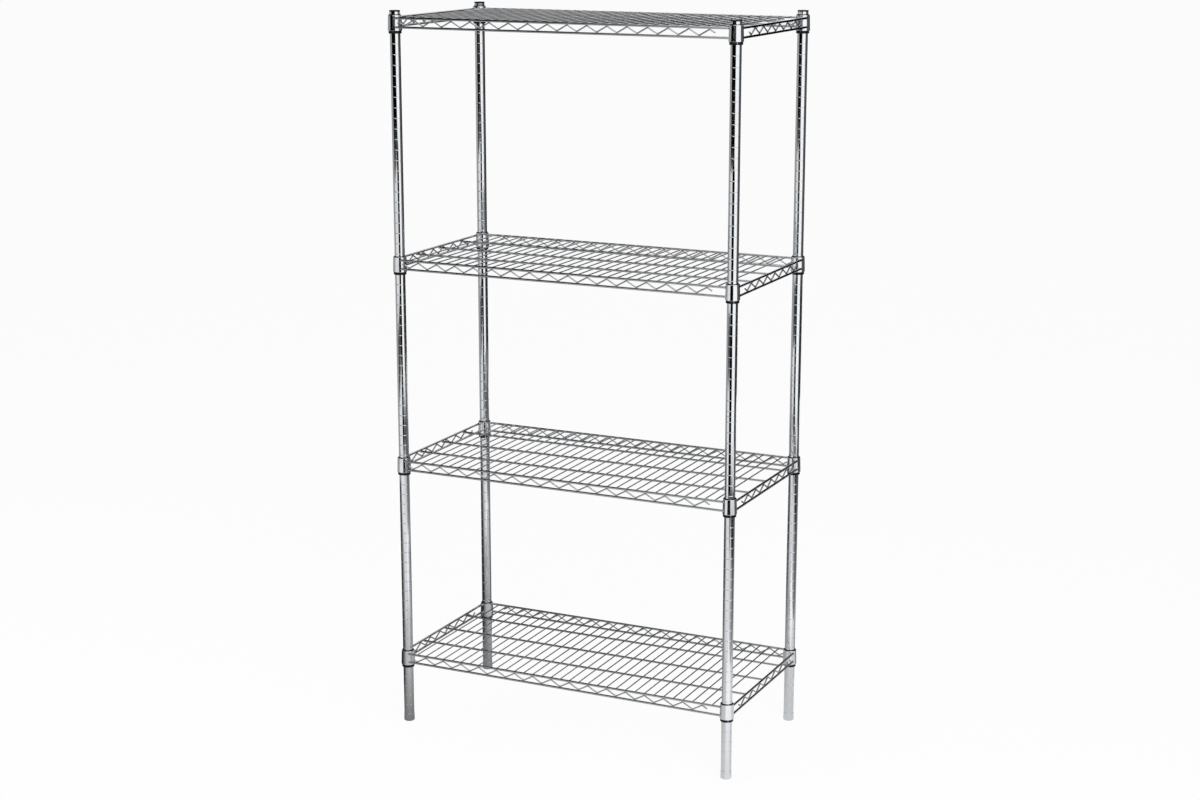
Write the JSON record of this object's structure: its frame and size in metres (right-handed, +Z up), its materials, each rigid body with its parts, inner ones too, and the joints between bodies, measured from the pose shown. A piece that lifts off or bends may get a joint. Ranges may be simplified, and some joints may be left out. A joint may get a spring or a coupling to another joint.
{
  "type": "wire shelving unit",
  "caption": "Free-standing chrome wire shelving unit: round grooved posts with levelling feet, and wire shelves that lift off tapered split sleeves.",
  "frame": {"origin": "on the floor, under the middle of the unit", "axes": "+X along the shelves to the right as seen from the front, +Y from the front to the back, +Z up"},
  "size_m": [0.9144, 0.457, 1.802],
  "materials": {
    "chrome_plate": "bright nickel and chrome plated steel",
    "black_plastic": "moulded black plastic, satin",
    "zinc_plate": "zinc plated steel"
  },
  "bodies": {
    "post_frame": {"post_joining_studs": "zinc_plate", "lower_post_front_left": "chrome_plate", "lower_post_front_right": "chrome_plate", "lower_post_back_right": "chrome_plate", "lower_post_back_left": "chrome_plate", "upper_post_front_left": "chrome_plate", "upper_post_front_right": "chrome_plate", "upper_post_back_right": "chrome_plate", "upper_post_back_left": "chrome_plate", "post_cap_front_left": "black_plastic", "post_cap_front_right": "black_plastic", "post_cap_back_right": "black_plastic", "post_cap_back_left": "black_plastic", "foot_insert_front_left": "zinc_plate", "foot_insert_front_right": "zinc_plate", "foot_insert_back_right": "zinc_plate", "foot_insert_back_left": "zinc_plate", "bottom_shelf_sleeves": "black_plastic", "second_shelf_sleeves": "black_plastic", "third_shelf_sleeves": "black_plastic", "top_shelf_sleeves": "black_plastic"},
    "bottom_shelf": {"bottom_shelf_collars": "chrome_plate", "bottom_shelf_long_rails": "chrome_plate", "bottom_shelf_end_rails": "chrome_plate", "bottom_shelf_long_zigzags": "chrome_plate", "bottom_shelf_end_zigzags": "chrome_plate", "bottom_shelf_deck_wires": "chrome_plate", "bottom_shelf_support_rods": "chrome_plate"},
    "second_shelf": {"second_shelf_collars": "chrome_plate", "second_shelf_long_rails": "chrome_plate", "second_shelf_end_rails": "chrome_plate", "second_shelf_long_zigzags": "chrome_plate", "second_shelf_end_zigzags": "chrome_plate", "second_shelf_deck_wires": "chrome_plate", "second_shelf_support_rods": "chrome_plate"},
    "third_shelf": {"third_shelf_collars": "chrome_plate", "third_shelf_long_rails": "chrome_plate", "third_shelf_end_rails": "chrome_plate", "third_shelf_long_zigzags": "chrome_plate", "third_shelf_end_zigzags": "chrome_plate", "third_shelf_deck_wires": "chrome_plate", "third_shelf_support_rods": "chrome_plate"},
    "top_shelf": {"top_shelf_collars": "chrome_plate", "top_shelf_long_rails": "chrome_plate", "top_shelf_end_rails": "chrome_plate", "top_shelf_long_zigzags": "chrome_plate", "top_shelf_end_zigzags": "chrome_plate", "top_shelf_deck_wires": "chrome_plate", "top_shelf_support_rods": "chrome_plate"},
    "foot_cup_front_left": {"foot_cup_front_left": "chrome_plate"},
    "foot_stem_front_left": {"foot_stem_front_left": "zinc_plate"},
    "foot_cup_front_right": {"foot_cup_front_right": "chrome_plate"},
    "foot_stem_front_right": {"foot_stem_front_right": "zinc_plate"},
    "foot_cup_back_right": {"foot_cup_back_right": "chrome_plate"},
    "foot_stem_back_right": {"foot_stem_back_right": "zinc_plate"},
    "foot_cup_back_left": {"foot_cup_back_left": "chrome_plate"},
    "foot_stem_back_left": {"foot_stem_back_left": "zinc_plate"}
  },
  "joints": [
    {"name": "bottom_shelf_lift", "type": "slide", "parent": "post_frame", "child": "bottom_shelf", "axis": [0, 0, 1], "range_m": [0, 0.462]},
    {"name": "second_shelf_lift", "type": "slide", "parent": "post_frame", "child": "second_shelf", "axis": [0, 0, 1], "range_m": [0, 0.462]},
    {"name": "third_shelf_lift", "type": "slide", "parent": "post_frame", "child": "third_shelf", "axis": [0, 0, 1], "range_m": [0, 0.538]},
    {"name": "top_shelf_lift", "type": "slide", "parent": "post_frame", "child": "top_shelf", "axis": [0, 0, 1], "range_m": [0, 0.05]},
    {"name": "foot_slide_front_left", "type": "slide", "parent": "post_frame", "child": "foot_cup_front_left", "axis": [0, 0, -1], "range_m": [0, 0.0195]},
    {"name": "foot_screw_front_left", "type": "hinge", "parent": "foot_cup_front_left", "child": "foot_stem_front_left", "pos_m": [-0.43975, -0.21115, 0.005], "axis": [0, 0, -1], "range_deg": [0, 4680]},
    {"name": "foot_slide_front_right", "type": "slide", "parent": "post_frame", "child": "foot_cup_front_right", "axis": [0, 0, -1], "range_m": [0, 0.0195]},
    {"name": "foot_screw_front_right", "type": "hinge", "parent": "foot_cup_front_right", "child": "foot_stem_front_right", "pos_m": [0.43975, -0.21115, 0.005], "axis": [0, 0, -1], "range_deg": [0, 4680]},
    {"name": "foot_slide_back_right", "type": "slide", "parent": "post_frame", "child": "foot_cup_back_right", "axis": [0, 0, -1], "range_m": [0, 0.0195]},
    {"name": "foot_screw_back_right", "type": "hinge", "parent": "foot_cup_back_right", "child": "foot_stem_back_right", "pos_m": [0.43975, 0.21115, 0.005], "axis": [0, 0, -1], "range_deg": [0, 4680]},
    {"name": "foot_slide_back_left", "type": "slide", "parent": "post_frame", "child": "foot_cup_back_left", "axis": [0, 0, -1], "range_m": [0, 0.0195]},
    {"name": "foot_screw_back_left", "type": "hinge", "parent": "foot_cup_back_left", "child": "foot_stem_back_left", "pos_m": [-0.43975, 0.21115, 0.005], "axis": [0, 0, -1], "range_deg": [0, 4680]}
  ],
  "couplings": [
    {"joint": "foot_screw_front_left", "follows": "foot_slide_front_left", "rad_per_m": 4188.8},
    {"joint": "foot_screw_front_right", "follows": "foot_slide_front_right", "rad_per_m": 4188.8},
    {"joint": "foot_screw_back_right", "follows": "foot_slide_back_right", "rad_per_m": 4188.8},
    {"joint": "foot_screw_back_left", "follows": "foot_slide_back_left", "rad_per_m": 4188.8}
  ]
}
